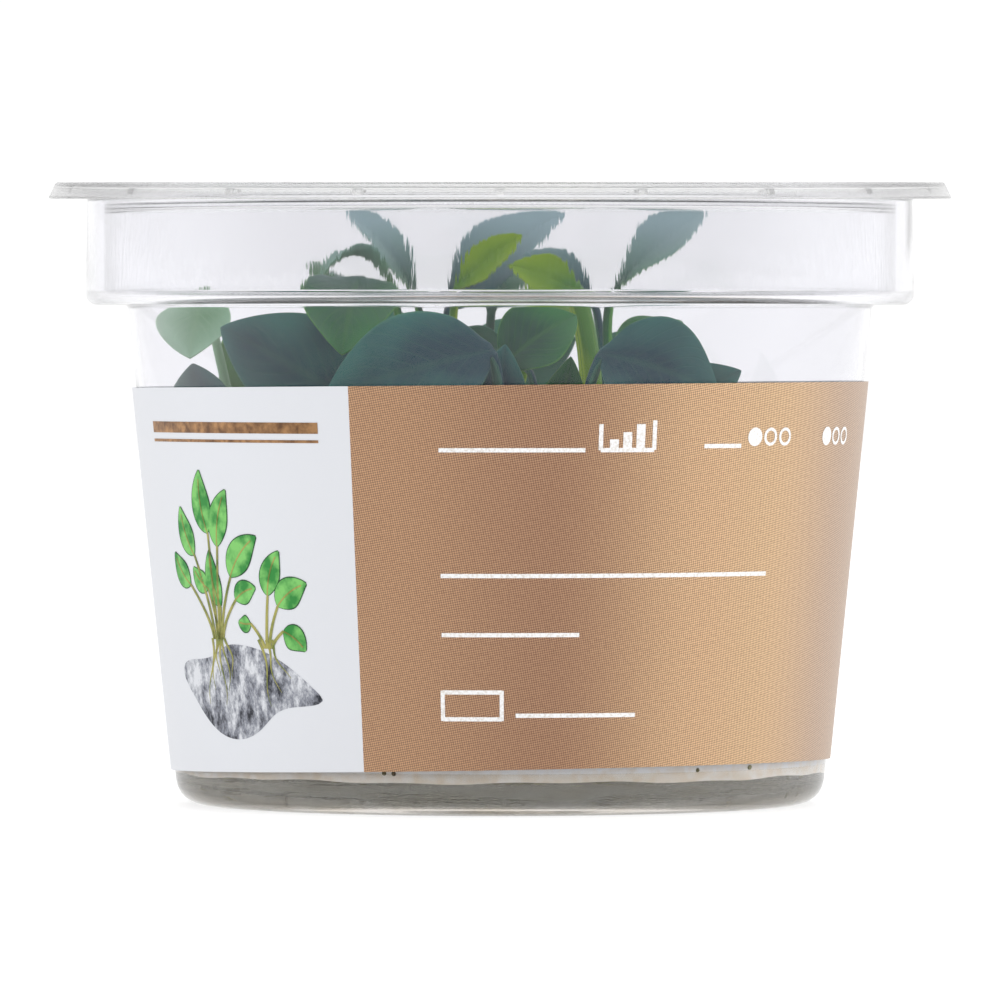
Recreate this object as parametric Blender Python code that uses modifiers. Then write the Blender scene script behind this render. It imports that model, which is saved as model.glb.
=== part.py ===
"""Laboratory-grown dwarf anubias in a clear lidded cup: cup, press-in lid, wrap label,
nutrient gel, and eight plantlets, each a rhizome with its own leaves.

Lengths in this file are millimetres until the helpers turn them to metres.
The origin is the centre of the cup's foot, +Z is up and -Y is the front of the label.
"""

import math

import bmesh
import bpy
from mathutils import Vector

MM = 0.001
STEPS = 40  # sides of every turned piece
GAP = 0.3  # air kept between neighbouring pieces

# Cup: thin clear wall that widens upwards, a ledge, and a wide collar that takes the lid.
WALL = 0.8
TAPER = 0.101  # outward lean of the wall, in mm of radius per mm of height
FOOT_R = 37.0  # where the wall's outer line would meet the table
CORNER_R = 3.0
RING_WIDTH = 1.8  # flat ring that the cup stands on
RECESS = 0.5  # the middle of the bottom is lifted by this
LEDGE_Z = 57.3  # underside of the ledge
COLLAR_R = 47.5
COLLAR_CORNER_R = 1.3
RIM_Z = 70.3
RIM_LIP = 1.5  # how far the rim turns outwards

# Lid: flat panel in a shallow recess, a skirt that plugs the collar, and a wide grip flange.
LID_TOP_Z = 71.4
LID_THICK = 0.8
FLANGE_R = 51.9
LIP_Z = 69.5
RECESS_R = 45.3
PANEL_TOP_Z = 69.0
SKIRT_R = 45.5
SKIRT_Z = 58.5
SEAL_Z = 68.6
STACK_BEAD_R = 38.4  # low ring that keeps the next cup's foot in place
STACK_BEAD_H = 0.5

# Label and gel.
LABEL_Z = (4.7, 48.2)
LABEL_GAP = 0.3
LABEL_THICK = 0.2
GEL_TOP_Z = 4.3

# Plantlets: name, middle of the rhizome, its heading in degrees, length.
RHIZOME_R = 2.1
RHIZOMES = {
    "rhizome_1": ((-23.0, -9.0, 7.2), 20, 13.0),
    "rhizome_2": ((-7.0, -18.0, 7.0), 75, 12.0),
    "rhizome_3": ((8.5, -17.0, 7.3), 110, 13.0),
    "rhizome_4": ((22.5, -6.0, 7.0), 150, 12.0),
    "rhizome_5": ((2.0, 0.5, 7.4), 5, 14.0),
    "rhizome_6": ((-20.0, 11.5, 7.1), 330, 13.0),
    "rhizome_7": ((-3.0, 20.5, 7.2), 95, 12.0),
    "rhizome_8": ((17.5, 14.5, 7.0), 40, 13.0),
}

# Leaves: name: (rhizome, place along it, blade base, blade tip, width, facing, arch, stalk radius).
# Facing is the way the upper surface looks, and arch is how far its middle bulges that way.
LEAVES = {
    "leaf_01": ("rhizome_1", -2.2, (-33.8, -1.5, 58.8), (-35.1, -12.5, 51.2), 8.4, (-0.1, -0.6, 0.8), 1.2, 0.6),
    "leaf_02": ("rhizome_1", -4.6, (-31.4, -6.5, 37.5), (-35.0, -8.5, 50.6), 8.0, (-0.3, -1.0, 0.1), 0.6, 0.6),
    "leaf_03": ("rhizome_1", 5.3, (-15.5, -9.5, 45.5), (-31.7, -11.8, 54.7), 13.0, (0.0, -1.0, 0.2), 1.0, 0.7),
    "leaf_04": ("rhizome_1", 0.2, (-16.0, -9.0, 60.0), (-17.8, -20.0, 51.6), 11.4, (0.0, -0.6, 0.8), 1.4, 0.6),
    "leaf_05": ("rhizome_1", 2.4, (-12.4, -4.6, 59.4), (-20.8, -6.5, 59.6), 7.0, (0.0, 0.05, 1.0), 3.4, 0.6),
    "leaf_06": ("rhizome_2", -4.4, (-1.0, -25.0, 52.0), (-19.6, -28.0, 46.8), 12.6, (0.0, -1.0, 0.3), 1.6, 0.8),
    "leaf_07": ("rhizome_2", -2.0, (-1.6, -20.8, 38.0), (0.6, -23.2, 52.8), 8.0, (0.1, -1.0, 0.1), 0.6, 0.6),
    "leaf_08": ("rhizome_2", 4.4, (-9.4, 1.5, 57.0), (-17.6, 0.0, 67.7), 8.6, (0.7, -0.4, 0.55), 1.0, 0.6),
    "leaf_09": ("rhizome_3", -4.8, (11.4, -24.5, 51.6), (24.4, -25.5, 47.2), 11.6, (0.1, -1.0, 0.35), 1.8, 0.8),
    "leaf_10": ("rhizome_2", 2.4, (0.4, -21.0, 50.4), (8.6, -18.0, 56.0), 8.8, (-0.3, -0.9, 0.4), 1.0, 0.6),
    "leaf_11": ("rhizome_3", 4.4, (4.8, -16.5, 39.0), (8.0, -20.5, 51.4), 6.6, (0.3, -0.9, 0.2), 0.6, 0.6),
    "leaf_12": ("rhizome_3", -1.2, (8.6, -10.5, 58.4), (1.0, -11.5, 61.4), 5.4, (0.2, -0.85, 0.5), 0.8, 1.5),
    "leaf_13": ("rhizome_4", 4.6, (15.2, -15.5, 43.0), (27.2, -18.0, 49.8), 8.4, (0.0, -1.0, 0.3), 0.8, 0.6),
    "leaf_14": ("rhizome_4", 2.2, (12.6, -5.0, 57.8), (23.6, -4.0, 67.5), 8.4, (-0.55, -0.55, 0.6), 1.0, 0.7),
    "leaf_15": ("rhizome_5", -4.4, (-5.8, 3.0, 57.2), (7.4, 1.0, 67.4), 9.6, (-0.35, -0.7, 0.6), 1.2, 0.7),
    "leaf_16": ("rhizome_5", -1.6, (-4.9, -6.0, 58.9), (2.5, -8.0, 64.9), 4.8, (-0.4, -0.8, 0.45), 0.5, 0.6),
    "leaf_17": ("rhizome_5", 4.6, (11.0, -0.4, 57.0), (2.8, -3.6, 62.6), 6.2, (0.3, -0.8, 0.5), 0.6, 0.6),
    "leaf_18": ("rhizome_6", -4.8, (-26.0, 13.5, 46.0), (-31.5, 4.0, 54.5), 9.4, (-1.0, 0.6, 0.3), 1.0, 0.6),
    "leaf_19": ("rhizome_6", -2.4, (-22.5, 18.5, 46.0), (-13.0, 27.5, 54.0), 10.6, (-0.6, 0.9, 0.3), 1.0, 0.6),
    "leaf_20": ("rhizome_6", 0.2, (-17.0, 12.5, 59.0), (-20.0, 22.5, 56.5), 9.0, (0.1, 0.4, 0.9), 2.0, 0.6),
    "leaf_21": ("rhizome_6", 4.4, (-12.5, 7.5, 49.0), (-14.5, 12.5, 58.0), 7.6, (0.3, 0.9, 0.3), 0.8, 0.6),
    "leaf_22": ("rhizome_7", 4.4, (-5.0, 28.5, 47.5), (9.0, 30.0, 53.5), 10.8, (0.1, 1.0, 0.3), 1.0, 0.7),
    "leaf_23": ("rhizome_7", 2.2, (-7.0, 22.0, 34.0), (-15.5, 27.5, 42.5), 8.8, (-0.3, 0.9, 0.4), 0.8, 0.6),
    "leaf_24": ("rhizome_7", -0.2, (-1.0, 17.0, 57.0), (0.5, 26.0, 62.5), 7.4, (0.1, -0.5, 0.9), 0.8, 0.6),
    "leaf_25": ("rhizome_7", -2.6, (4.0, 12.5, 55.0), (9.4, 19.5, 60.0), 7.0, (0.2, -0.5, 0.9), 1.0, 0.6),
    "leaf_26": ("rhizome_8", 4.6, (23.5, 18.5, 41.5), (26.0, 6.5, 49.5), 8.6, (1.0, 0.4, 0.4), 1.0, 0.6),
    "leaf_27": ("rhizome_8", 2.2, (20.5, 20.0, 45.0), (13.0, 27.5, 54.0), 9.4, (0.6, 0.8, 0.3), 0.8, 0.6),
    "leaf_28": ("rhizome_8", 0.0, (15.0, 13.0, 50.5), (21.0, 18.5, 55.5), 8.4, (0.1, -0.2, 1.0), 1.0, 0.6),
    "leaf_29": ("rhizome_8", -2.4, (14.5, 7.0, 47.0), (22.0, 1.0, 54.0), 8.2, (0.6, 0.3, 0.7), 1.0, 0.6),
    "leaf_30": ("rhizome_4", -0.2, (30.0, -5.0, 29.0), (35.0, 4.0, 36.5), 8.2, (0.9, -0.1, 0.6), 0.8, 0.6),
    "leaf_31": ("rhizome_4", -4.4, (29.0, -12.5, 24.0), (29.5, -22.5, 32.0), 7.6, (0.8, -0.5, 0.4), 0.8, 0.5),
    "leaf_32": ("rhizome_2", 0.6, (-12.5, -20.0, 30.0), (-21.5, -26.0, 38.5), 8.4, (-0.4, -0.8, 0.5), 0.8, 0.5),
    "leaf_33": ("rhizome_5", 1.8, (3.5, 6.0, 49.5), (-6.0, 9.0, 54.0), 7.8, (0.1, 0.3, 1.0), 1.0, 0.6),
    "leaf_34": ("rhizome_6", 2.2, (-20.5, 4.0, 30.0), (-29.0, 1.5, 37.0), 7.6, (-0.3, -0.2, 0.9), 0.8, 0.5),
    "leaf_35": ("rhizome_8", -4.8, (10.0, 15.0, 33.0), (7.5, 25.5, 40.0), 8.0, (0.2, 0.6, 0.7), 0.8, 0.5),
    "leaf_36": ("rhizome_4", -2.3, (24.0, -12.5, 33.0), (19.5, -23.0, 39.5), 7.4, (0.2, -0.5, 0.8), 1.0, 0.5),
}

# Most blades are fullest near the base and pointed; these few are fullest near a blunt tip.
POINTED = 0.82
BLUNT = {"leaf_01": 1.5, "leaf_02": 1.3, "leaf_08": 1.5, "leaf_14": 1.6, "leaf_16": 1.0, "leaf_17": 1.2}


def material(name, colour, roughness, metallic=0.0, transmission=0.0):
    made = bpy.data.materials.new(name)
    made.use_nodes = True
    shader = made.node_tree.nodes["Principled BSDF"]
    shader.inputs["Base Color"].default_value = (*colour, 1)
    shader.inputs["Roughness"].default_value = roughness
    shader.inputs["Metallic"].default_value = metallic
    shader.inputs["Transmission Weight"].default_value = transmission
    return made


def add_object(name, mesh, collection, finish):
    piece = bpy.data.objects.new(name, mesh)
    piece.data.materials.append(finish)
    collection.objects.link(piece)
    return piece


def arc(centre, radius, start, end, count):
    """Points along a round corner, from angle start to angle end, in degrees."""
    points = []
    for i in range(count + 1):
        angle = math.radians(start + (end - start) * i / count)
        points.append((centre[0] + radius * math.cos(angle), centre[1] + radius * math.sin(angle)))
    return points


def wall_r(z, inwards=0.0):
    """Radius of the cup's tapered wall at height z, moved inwards from its outer face."""
    return FOOT_R + TAPER * z - inwards


def turned(name, profile, collection, finish):
    """A profile of (radius, height) points, spun about Z by a Screw modifier."""
    closed = profile[0][0] > 0
    mesh = bpy.data.meshes.new(name)
    points = [(r * MM, 0, z * MM) for r, z in profile]
    edges = [(i, i + 1) for i in range(len(points) - 1)]
    if closed:
        edges.append((len(points) - 1, 0))
    mesh.from_pydata(points, edges, [])
    piece = add_object(name, mesh, collection, finish)
    screw = piece.modifiers.new("turn", "SCREW")
    screw.axis = "Z"
    screw.angle = math.tau
    screw.steps = STEPS
    screw.render_steps = STEPS
    screw.use_merge_vertices = True
    screw.merge_threshold = 0.00005
    return piece


def cup_profile():
    """Round the cup's section: across its inner floor, up inside, over the rim, and down outside."""
    floor_z = RECESS + WALL
    inner_corner = CORNER_R - WALL
    lean = math.degrees(math.atan(TAPER))
    corner_x = wall_r(CORNER_R) - CORNER_R / math.cos(math.radians(lean))
    inside_x = wall_r(floor_z + inner_corner, WALL) - inner_corner / math.cos(math.radians(lean))
    collar_in = COLLAR_R - WALL - 0.1
    ledge_top = LEDGE_Z + WALL + 0.1
    corner_c = (COLLAR_R - COLLAR_CORNER_R, LEDGE_Z + COLLAR_CORNER_R)
    up = [(0, floor_z)]
    up += arc((inside_x, floor_z + inner_corner), inner_corner, -90, -lean, 3)
    up += [(wall_r(ledge_top - 0.6, WALL), ledge_top - 0.6), (wall_r(ledge_top, WALL) + 0.6, ledge_top)]
    up += [(collar_in - 0.6, ledge_top), (collar_in, ledge_top + 0.6), (collar_in, RIM_Z - 0.3)]
    up += [(collar_in + 0.3, RIM_Z)]
    down = [(COLLAR_R + RIM_LIP - 0.3, RIM_Z), (COLLAR_R + RIM_LIP, RIM_Z - 0.3)]
    down += [(COLLAR_R + RIM_LIP, RIM_Z - 0.8), (COLLAR_R - 0.1, RIM_Z - 0.8)]
    down += arc(corner_c, COLLAR_CORNER_R, 0, -90, 4)
    down += [(wall_r(LEDGE_Z), LEDGE_Z)]
    down += arc((corner_x, CORNER_R), CORNER_R, -lean, -90, 4)
    down += [(corner_x - RING_WIDTH, 0), (corner_x - RING_WIDTH - RECESS, RECESS), (0, RECESS)]
    return up + down


def lid_profile():
    """Round the lid's section: under the panel, down and up the skirt, out to the lip, back over the top."""
    under_z = PANEL_TOP_Z - LID_THICK
    plug_r = COLLAR_R - WALL - 0.1 - GAP
    flange_under = LID_TOP_Z - LID_THICK
    inner_skirt = SKIRT_R - LID_THICK
    below = [(0, under_z), (inner_skirt - 0.5, under_z), (inner_skirt, under_z - 0.5)]
    below += [(inner_skirt, SKIRT_Z), (SKIRT_R, SKIRT_Z), (SKIRT_R, SEAL_Z), (plug_r, SEAL_Z + 0.7)]
    below += [(plug_r, flange_under), (FLANGE_R - 1.2, flange_under), (FLANGE_R - 0.75, LIP_Z)]
    above = [(FLANGE_R, LIP_Z), (FLANGE_R - 0.5, LID_TOP_Z - 0.4), (FLANGE_R - 0.9, LID_TOP_Z)]
    above += [(RECESS_R + 0.4, LID_TOP_Z), (RECESS_R, LID_TOP_Z - 0.4), (RECESS_R - 0.2, PANEL_TOP_Z)]
    above += [(STACK_BEAD_R + 0.8, PANEL_TOP_Z), (STACK_BEAD_R, PANEL_TOP_Z + STACK_BEAD_H)]
    above += [(STACK_BEAD_R - 0.8, PANEL_TOP_Z), (0, PANEL_TOP_Z)]
    return (below + above)[::-1]


def label_profile():
    """A thin conical sleeve just outside the cup's wall."""
    low, high = LABEL_Z
    inner = [(wall_r(z, -LABEL_GAP), z) for z in (low, high)]
    outer = [(wall_r(z, -LABEL_GAP - LABEL_THICK), z) for z in (high, low)]
    return inner + outer


def gel_profile():
    """A shallow disc of set gel that follows the cup's floor and inner corner."""
    floor_z = RECESS + WALL + GAP
    corner = CORNER_R - WALL
    side = wall_r(GEL_TOP_Z, WALL + GAP)
    rise = arc((side - corner - 0.1, floor_z + corner), corner, 0, -90, 3)
    return [(0, GEL_TOP_Z), (side, GEL_TOP_Z)] + rise + [(0, floor_z)]


def rhizome(name, middle, heading, length, collection, finish):
    """A knobby creeping stem: a sphere stretched along its heading, with swollen rings."""
    mesh = bpy.data.meshes.new(name)
    shape = bmesh.new()
    bmesh.ops.create_uvsphere(shape, u_segments=8, v_segments=8, radius=1)
    turn = math.radians(heading)
    along = Vector((math.cos(turn), math.sin(turn), 0))
    across = Vector((-along.y, along.x, 0))
    for vertex in shape.verts:
        x, y, z = vertex.co
        swell = 1 + 0.08 * math.cos(9 * z)
        place = along * (z * length / 2) + across * (x * RHIZOME_R * swell)
        place.z = y * RHIZOME_R * swell
        vertex.co = (Vector(middle) + place) * MM
    shape.to_mesh(mesh)
    shape.free()
    return add_object(name, mesh, collection, finish)


def leaf_foot(rhizome_name, place):
    """Where a stalk starts: just above its rhizome, on alternate sides along it."""
    middle, heading, _ = RHIZOMES[rhizome_name]
    turn = math.radians(heading)
    along = Vector((math.cos(turn), math.sin(turn), 0))
    return Vector(middle) + along * place + Vector((0, 0, RHIZOME_R * 1.08 + GAP + 0.1))


def half_width(t, width, fullest):
    """Half the blade's width at share t of its length. A larger fullest moves the belly to the tip."""
    return width / 2 * math.sin(math.pi * t**fullest) ** 0.8


def leaf_sections(foot, joint, tip, width, facing, arch, stalk_r, fullest):
    """(centre, side, up, half width, half thickness, cup) for each section from foot to tip."""
    chord = (tip - joint).normalized()
    normal = (facing - chord * facing.dot(chord)).normalized()
    side = chord.cross(normal)
    reach = (joint - foot).length
    start = Vector((0, 0, 1)) * reach
    end = (chord + Vector((0, 0, 1.2)) + (joint - foot).normalized()).normalized() * reach * 0.7
    sections = []
    for s in (0, 0.3, 0.6, 0.85, 0.97):
        a, b = 2 * s**3 - 3 * s**2 + 1, s**3 - 2 * s**2 + s
        c, d = -2 * s**3 + 3 * s**2, s**3 - s**2
        centre = foot * a + start * b + joint * c + end * d
        way = foot * (6 * s**2 - 6 * s) + start * (3 * s**2 - 4 * s + 1)
        way += joint * (6 * s - 6 * s**2) + end * (3 * s**2 - 2 * s)
        way.normalize()
        flat = (side - way * side.dot(way)).normalized()
        radius = stalk_r * (1.15 - 0.3 * s)
        sections.append((centre, flat, flat.cross(way), radius, radius * 0.87, 0.0))
    for t in (0.08, 0.27, 0.5, 0.74, 0.92, 1.0):
        centre = joint.lerp(tip, t) + normal * arch * 4 * t * (1 - t)
        way = (chord * (tip - joint).length + normal * arch * 4 * (1 - 2 * t)).normalized()
        half = max(half_width(t, width, fullest), 0.25) if t < 1 else 0.25
        thick = 0.3 if t < 0.9 else 0.2
        sections.append((centre, side, side.cross(way), half, thick, 0.12 * half))
    return sections


def leaf(name, row, collection, finish):
    """A stalk that widens into a blade: a loft of six-sided sections."""
    rhizome_name, place, joint, tip, width, facing, arch, stalk_r = row
    foot = leaf_foot(rhizome_name, place)
    mesh = bpy.data.meshes.new(name)
    shape = bmesh.new()
    rings = []
    fullest = BLUNT.get(name, POINTED)
    sections = leaf_sections(foot, Vector(joint), Vector(tip), width, Vector(facing), arch, stalk_r, fullest)
    for centre, side, up, half, thick, cup in sections:
        outline = [(1, 0, 1), (0.5, 1, 0.25), (-0.5, 1, 0.25), (-1, 0, 1), (-0.5, -1, 0.25), (0.5, -1, 0.25)]
        ring = [centre + side * x * half + up * (y * thick + lift * cup) for x, y, lift in outline]
        rings.append([shape.verts.new(point * MM) for point in ring])
    for low, high in zip(rings, rings[1:]):
        for i in range(6):
            j = (i + 1) % 6
            shape.faces.new((low[i], low[j], high[j], high[i]))
    shape.faces.new(rings[0][::-1])
    shape.faces.new(rings[-1])
    bmesh.ops.recalc_face_normals(shape, faces=shape.faces)
    shape.to_mesh(mesh)
    shape.free()
    return add_object(name, mesh, collection, finish)


def main():
    for old in list(bpy.data.objects):
        bpy.data.objects.remove(old)
    plant_cup = bpy.data.collections.new("plant_cup")
    bpy.context.scene.collection.children.link(plant_cup)

    turned("cup", cup_profile(), plant_cup, material("clear_cup", (0.9, 0.9, 0.93), 0.05, 0, 1))
    turned("lid", lid_profile(), plant_cup, material("clear_lid", (0.9, 0.9, 0.93), 0.05, 0, 1))
    turned("label", label_profile(), plant_cup, material("label_film", (0.5, 0.3, 0.15), 0.4))
    turned("gel", gel_profile(), plant_cup, material("nutrient_gel", (0.6, 0.57, 0.48), 0.1, 0, 0.8))
    stem_finish = material("rhizome_skin", (0.16, 0.2, 0.07), 0.5)
    for name, (middle, heading, length) in RHIZOMES.items():
        rhizome(name, middle, heading, length, plant_cup, stem_finish)
    leaf_finish = material("leaf_green", (0.03, 0.07, 0.04), 0.35)
    for name, row in LEAVES.items():
        leaf(name, row, plant_cup, leaf_finish)


main()
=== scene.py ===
"""Laboratory-grown dwarf anubias in a clear lidded cup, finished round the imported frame.

Lengths are millimetres until surface() turns them to metres. +Z is up, and -Y is the
front of the label. Azimuth is counted from the front, positive towards +X.
"""

import math

import bmesh
import bpy
import numpy as np
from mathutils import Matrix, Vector


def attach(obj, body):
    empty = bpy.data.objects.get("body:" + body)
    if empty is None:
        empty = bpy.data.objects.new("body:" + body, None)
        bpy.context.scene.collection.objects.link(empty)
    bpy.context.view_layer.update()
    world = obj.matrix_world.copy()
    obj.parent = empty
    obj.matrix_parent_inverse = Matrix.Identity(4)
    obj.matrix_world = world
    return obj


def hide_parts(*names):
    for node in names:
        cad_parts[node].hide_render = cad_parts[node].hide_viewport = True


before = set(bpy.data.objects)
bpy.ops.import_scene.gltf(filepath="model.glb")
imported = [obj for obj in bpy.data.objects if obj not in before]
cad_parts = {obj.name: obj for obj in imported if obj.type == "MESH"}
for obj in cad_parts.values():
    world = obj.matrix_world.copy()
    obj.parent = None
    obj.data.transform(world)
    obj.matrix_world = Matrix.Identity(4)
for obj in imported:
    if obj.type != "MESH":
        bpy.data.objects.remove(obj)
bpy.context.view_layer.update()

# ---------------------------------------------------------------- cup
# One injection moulding in clear polypropylene: a thin wall that widens upwards, a ledge,
# and a wide collar with a small turned rim that the lid presses into.

MM = 0.001
AROUND = 288  # faces round every turned piece
WALL = 0.8
FOOT_R = 37.0
LEAN = 0.101  # growth of the wall's radius per mm of height
LEDGE_Z = 57.3
COLLAR_R = 47.5
RIM_Z = 70.3
RECESS = 0.5
TILT = 0.0148  # how far the rim and lid lean forward, in mm of height per mm of depth


def linear(code):
    """sRGB hex to linear light: each channel / 12.92 below 0.04, else ((c + 0.055) / 1.055) ^ 2.4."""
    share = np.array([int(code[i : i + 2], 16) for i in (0, 2, 4)]) / 255
    light = np.where(share <= 0.04045, share / 12.92, ((share + 0.055) / 1.055) ** 2.4)
    return (*light.tolist(), 1.0)


def add_node(tree, kind, settings=None, links=None):
    """Adds a shader node. Settings name its properties or its input sockets; links feed its inputs."""
    made = tree.nodes.new("ShaderNode" + kind)
    for key, value in (settings or {}).items():
        if isinstance(key, str) and hasattr(made, key):
            setattr(made, key, value)
        else:
            made.inputs[key].default_value = value
    for key, source in (links or {}).items():
        tree.links.new(source, made.inputs[key])
    return made


def feed(tree, socket, value):
    """Gives an input socket a number, a colour by its sRGB hex, or another node's output."""
    if isinstance(value, bpy.types.NodeSocket):
        tree.links.new(value, socket)
    else:
        socket.default_value = linear(value) if isinstance(value, str) else value


def finish(name, sockets):
    """A material with one Principled shader whose sockets have the given values."""
    made = bpy.data.materials.new(name)
    made.use_nodes = True
    shader = made.node_tree.nodes["Principled BSDF"]
    for socket, value in sockets.items():
        feed(made.node_tree, shader.inputs[socket], value)
    return made, made.node_tree, shader


def surface(name, grids, made_of, stands_for=(), uvs=None, caps=False, sharp=40):
    """Skins each grid (rows, columns, 3) with quads, columns joined round, poles welded, fronts outwards."""
    points, faces, corners = [], [], []
    first = 0
    for index, grid in enumerate(grids):
        rows, columns = grid.shape[:2]
        corner = np.arange(rows * columns).reshape(rows, columns) + first
        low, high = corner[:-1], corner[1:]
        quads = np.stack([low, np.roll(low, -1, 1), np.roll(high, -1, 1), high], -1).reshape(-1, 4)
        faces += quads.tolist()
        if uvs is not None:
            own = uvs[index]
            parts = [own[:-1, :-1], own[:-1, 1:], own[1:, 1:], own[1:, :-1]]
            corners.append(np.stack(parts, 2).reshape(-1, 2))
        if caps:
            faces += [corner[0][::-1].tolist(), corner[-1].tolist()]
            if uvs is not None:
                corners += [own[0, :-1][::-1], own[-1, :-1]]
        points.append(grid.reshape(-1, 3))
        first += rows * columns
    mesh = bpy.data.meshes.new(name)
    mesh.from_pydata(np.concatenate(points) * MM, [], faces)
    if uvs is not None:
        layer = mesh.uv_layers.new(name="pattern")
        layer.data.foreach_set("uv", np.concatenate(corners).ravel())
    shape = bmesh.new()
    shape.from_mesh(mesh)
    bmesh.ops.remove_doubles(shape, verts=shape.verts, dist=2e-7)
    bmesh.ops.recalc_face_normals(shape, faces=shape.faces)
    shape.to_mesh(mesh)
    shape.free()
    mesh.shade_smooth()
    mesh.set_sharp_from_angle(angle=math.radians(sharp))
    piece = bpy.data.objects.new(name, mesh)
    bpy.context.scene.collection.objects.link(piece)
    piece.data.materials.append(made_of)
    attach(piece, "root")
    if stands_for:
        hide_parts(*stands_for)
    return piece


SUPPORT = 0.05  # mm from each arc to the extra point beside it


def rounded(corners, steps=6):
    """Each corner (r, z, radius) becomes an arc tangent to its two sides: points on the circle round
    the corner's inner centre, from one touching point to the other. One more point a little along
    each side keeps the flats beside it flat to the eye."""
    line = []
    for before, here, after in zip([corners[0]] + corners[:-1], corners, corners[1:] + [corners[-1]]):
        spot = np.array(here[:2])
        into, away = np.array(before[:2]) - spot, np.array(after[:2]) - spot
        if here[2] == 0 or not into.any() or not away.any():
            line.append(spot)
            continue
        into, away = into / np.linalg.norm(into), away / np.linalg.norm(away)
        half = math.acos(np.clip(into @ away, -1, 1)) / 2
        centre = spot + (into + away) / np.linalg.norm(into + away) * here[2] / math.sin(half)
        start = spot + into * here[2] / math.tan(half) - centre
        end = spot + away * here[2] / math.tan(half) - centre
        share = np.linspace(0, 1, steps + 1)[:, None]
        sweep = math.acos(np.clip(start @ end / here[2] ** 2, -1, 1))
        weights = np.sin((1 - share) * sweep), np.sin(share * sweep)
        bend = centre + (weights[0] * start + weights[1] * end) / math.sin(sweep)
        line += [bend[0] + into * SUPPORT, *bend, bend[-1] + away * SUPPORT]
    return np.array(line)


def turned(line, around=AROUND):
    """Carries a line of (r, z) round the axis: x = r sin(azimuth), y = -r cos(azimuth), z = z."""
    azimuth = np.linspace(0, math.tau, around, endpoint=False)
    r, z = line[:, :1], line[:, 1:]
    return np.stack([r * np.sin(azimuth), -r * np.cos(azimuth), z + 0 * azimuth], -1)


def settled(grid):
    """The hot rim cools a little askew, lower in front: z + TILT * y, faded in by smooth steps between
    radius 46.3 and 48.8 and height 64 and 69, and for its top face radius 43.3 and 45.3 and
    height 69.2 and 70.4."""
    r, z = np.hypot(grid[..., 0], grid[..., 1]), grid[..., 2]
    outer = np.clip((r - 46.3) / 2.5, 0, 1) * np.clip((z - 64) / 5, 0, 1)
    top = np.clip((r - 43.3) / 2, 0, 1) * np.clip((z - 69.2) / 1.2, 0, 1)
    fade = np.maximum(outer, top)
    grid = grid.copy()
    grid[..., 2] += TILT * grid[..., 1] * fade * fade * (3 - 2 * fade)
    return grid


def wall_r(z, inwards=0.0):
    """Radius of the tapered wall's outer face at height z: foot radius + lean * height - inwards."""
    return FOOT_R + LEAN * z - inwards


# Clear polypropylene, polished mould: colourless with a faint cold cast in its thickness.
# Slow waves left by the moulding bend what is seen through it a little.
clear_cup, tree, shader = finish(
    "clear_polypropylene_cup",
    {
        "Base Color": "f8f8fb",
        "Roughness": 0.025,
        "IOR": 1.49,
        "Transmission Weight": 1.0,
    },
)
place = add_node(tree, "TexCoord").outputs["Object"]
waves = add_node(tree, "TexNoise", {"Scale": 70, "Detail": 1.0}, {"Vector": place})
moulding = add_node(tree, "Bump", {"Strength": 0.12, "Distance": 0.0003}, {"Height": waves.outputs["Fac"]})
tree.links.new(moulding.outputs["Normal"], shader.inputs["Normal"])


def remap(tree, value, low, high, to_low=0.0, to_high=1.0, curve="LINEAR"):
    """Slides a value from low..high to to_low..to_high, and holds it at the ends."""
    ends = {"From Min": low, "From Max": high, "To Min": to_low, "To Max": to_high}
    made = add_node(tree, "MapRange", {"interpolation_type": curve, **ends}, {"Value": value})
    return made.outputs["Result"]


def maths(tree, operation, *terms):
    """A Math node on its terms, each a number or another node's output."""
    made = add_node(tree, "Math", {"operation": operation})
    for socket, term in zip(made.inputs, terms):
        feed(tree, socket, term)
    return made.outputs[0]


def parted(tree, vector):
    """The three parts of a vector."""
    return add_node(tree, "SeparateXYZ", links={"Vector": vector}).outputs


EDGE = 0.2  # mm over which a matt band fades out


def matt_band(tree, shader, low, high, matt, clear):
    """Roughness that is matt between two heights in millimetres and clear elsewhere: the spark-worn
    seal faces of the mould. A step up at the low edge times a step down at the high one."""
    height = parted(tree, add_node(tree, "TexCoord").outputs["Object"])["Z"]
    up = remap(tree, height, (low - EDGE) * MM, low * MM)
    down = remap(tree, height, (high + EDGE) * MM, high * MM)
    spread = remap(tree, maths(tree, "MULTIPLY", up, down), 0.0, 1.0, clear, matt)
    tree.links.new(spread, shader.inputs["Roughness"])


matt_band(tree, shader, 57.0, 58.4, 0.12, 0.025)

floor_z = RECESS + WALL
ledge_top = LEDGE_Z + WALL
collar_in = COLLAR_R - WALL - 0.1
cup_line = rounded(
    [
        (0, floor_z, 0),
        (wall_r(floor_z, WALL), floor_z, 2.2),
        (wall_r(ledge_top, WALL), ledge_top, 0.7),
        (collar_in, ledge_top, 0.7),
        (collar_in, RIM_Z, 0.25),
        (COLLAR_R + 1.5, RIM_Z, 0.25),
        (COLLAR_R + 1.5, RIM_Z - 0.8, 0.25),
        (COLLAR_R - 0.1, RIM_Z - 0.8, 0.3),
        (COLLAR_R + 0.1, LEDGE_Z, 1.3),
        (wall_r(LEDGE_Z), LEDGE_Z, 0.4),
        (wall_r(0), 0, 3.1),
        (32.5, 0, 0.25),
        (32.0, RECESS, 0.25),
        (0, RECESS, 0),
    ]
)
cup_piece = surface("cup_finish", [settled(turned(cup_line))], clear_cup, ["cup"])
cup_piece.visible_shadow = False  # light passes straight through the thin clear wall

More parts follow.
